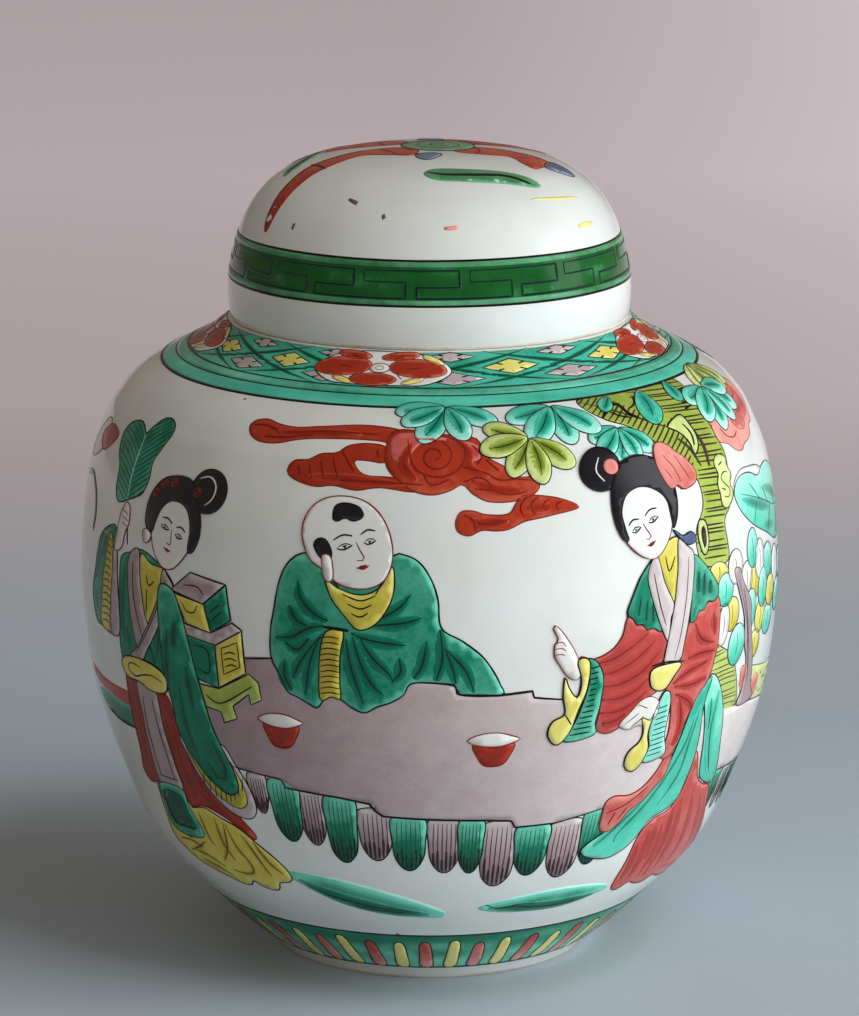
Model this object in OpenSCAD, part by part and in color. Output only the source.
// A lidded porcelain ginger jar: a globular jar on a foot ring, and a domed cap that
// sits over the jar's short neck and lifts straight off.
// Millimetres, +Z up, origin at the centre of the foot ring's standing plane.

/* [Jar] */
// Largest diameter of the jar
body_d = 127; // [110:1:140]
// Height of the lid's seat above the table
seat_h = 116; // [105:1:125]
// Thickness of the jar's wall
wall = 4.2; // [3:0.1:5.5]
// Height of the inside floor above the table
floor_h = 8.5; // [7:0.1:11]

/* [Foot] */
// Width of the foot ring, from its standing edge inwards
foot_w = 4.2; // [3:0.1:6]
// Depth of the recess inside the foot ring
recess = 3.4; // [2:0.1:4.5]

/* [Neck] */
// Outside diameter of the neck
neck_d = 61; // [58:0.2:62.4]
// Inside diameter of the neck, which is the jar's mouth
mouth_d = 54; // [48:0.2:55]
// Height of the neck above the lid's seat
neck_h = 11.5; // [8:0.1:12]

/* [Lid] */
// Largest diameter of the lid
lid_d = 72.6; // [72:0.2:74]
// Height of the lid, from its rim to the top of the dome
lid_h = 30.5; // [28:0.1:34]
// Thickness of the lid's wall
lid_wall = 3.2; // [2.6:0.1:3.2]
// Gap under the lid's rim, where it rests on the seat
rim_gap = 0.05; // [0.02:0.01:0.1]

/* [Hidden] */
$fn = 180;
steps = 4;                // straight pieces in each span of a curve
lip_r = min(1.4, (neck_d - mouth_d) / 4);   // rounding of the neck's lip
neck_flare = 2;           // how far outside the mouth the inside wall turns up into the neck
corner_h = 5;             // height of the hollow corner between the inside wall and the floor
recess_rise = 0.6;        // how much higher the recess is in the middle than at its edge
foot_edge = 0.6;          // bevel inside the foot ring's standing edge
rim_r = 0.8;              // rounding of the lid's rim
glaze = "whitesmoke";

// The jar's outline from the foot ring to the lid's seat: [share of radius, share of height].
body_outline = [
    [0.457, 0.000], [0.491, 0.019], [0.576, 0.059], [0.677, 0.114], [0.734, 0.145],
    [0.786, 0.179], [0.839, 0.228], [0.898, 0.309], [0.943, 0.379], [0.980, 0.466],
    [1.000, 0.610], [0.972, 0.767], [0.915, 0.854], [0.879, 0.886], [0.831, 0.913],
    [0.772, 0.934], [0.704, 0.953], [0.636, 0.972], [0.570, 1.000]];

// The lid's outline from its rim to the top of its dome, in the same way.
lid_outline = [
    [0.983, 0.000], [0.994, 0.060], [1.000, 0.164], [0.992, 0.282],
    [0.972, 0.400], [0.942, 0.518], [0.898, 0.633], [0.840, 0.731],
    [0.763, 0.816], [0.630, 0.905], [0.420, 0.967], [0.200, 0.993], [0.000, 1.000]];

// The hollow corner inside, down from the wall to the floor: [inwards, up] in shares of its height.
corner_shape = [[0.35, 0.68], [0.80, 0.38], [1.35, 0.16], [2.00, 0.04], [2.80, 0.00]];

// One point of the smooth curve that passes through b and c, at the share t between them.
function spline_point(a, b, c, d, t) =
    0.5 * (2 * b + (c - a) * t + (2 * a - 5 * b + 4 * c - d) * t * t
        + (3 * b - 3 * c + d - a) * t * t * t);

// A smooth curve through all the points.
function spline(p) =
    let (last = len(p) - 1)
    [for (i = [0:last - 1]) for (k = [0:steps - 1])
        spline_point(p[max(i - 1, 0)], p[i], p[i + 1], p[min(i + 2, last)], k / steps),
     p[last]];

function scaled(p, r, h) = [for (q = p) [q.x * r, q.y * h]];

function backwards(p) = [for (i = [len(p) - 1:-1:0]) p[i]];

// The curve moved by t towards the inside, which lies on its left as it climbs.
function inset(p, t) =
    let (last = len(p) - 1)
    [for (i = [0:last])
        let (d = p[min(i + 1, last)] - p[max(i - 1, 0)], n = [-d.y, d.x] / norm(d))
        p[i] + t * n];

function arc(centre, r, from, to, n = 6) =
    [for (i = [0:n]) let (a = from + (to - from) * i / n) centre + r * [cos(a), sin(a)]];

body_curve = spline(scaled(body_outline, body_d / 2, seat_h));
lid_curve = spline(scaled(lid_outline, lid_d / 2, lid_h));
neck_r = neck_d / 2;
mouth_r = mouth_d / 2;
lip_z = seat_h + neck_h - lip_r;

// The inside wall, from the top of the hollow corner up to the foot of the neck.
inside = [for (q = inset(body_curve, wall))
    if (q.y > floor_h + corner_h && q.x > mouth_r + neck_flare) q];
corner = [for (c = corner_shape)
    [inside[0].x - c.x * corner_h, floor_h + c.y * corner_h]];

// The underside, from the middle of the recess out to the foot ring's standing edge.
ring_r = body_curve[0].x - foot_w;
underside = [
    [0, recess + recess_rise], [ring_r - 3 * foot_edge, recess],
    [ring_r - foot_edge, recess - foot_edge], [ring_r, foot_edge], [ring_r + foot_edge, 0]];

module jar_body() {
    color(glaze)
    rotate_extrude()
    polygon(concat(
        body_curve,
        [[neck_r, seat_h]],
        arc([neck_r - lip_r, lip_z], lip_r, 0, 90),
        arc([mouth_r + lip_r, lip_z], lip_r, 90, 180),
        [[mouth_r, seat_h - wall / 3]],
        backwards(inside), corner,
        [[0, floor_h]],
        underside));
}

// The inside of the dome, from just above the rim up to the middle.
dome = [for (q = inset(lid_curve, lid_wall)) if (q.x > rim_r && q.y > 2 * rim_r) q];

module lid() {
    color(glaze)
    translate([0, 0, seat_h + rim_gap])
    rotate_extrude()
    polygon(concat(
        [for (q = lid_curve) if (q.y > rim_r) q],
        [[0, lid_h - lid_wall]],
        backwards(dome),
        arc([dome[0].x + rim_r, rim_r], rim_r, 180, 270, 4),
        arc([lid_curve[0].x - rim_r, rim_r], rim_r, 270, 350, 4)));
}

jar_body();
lid();
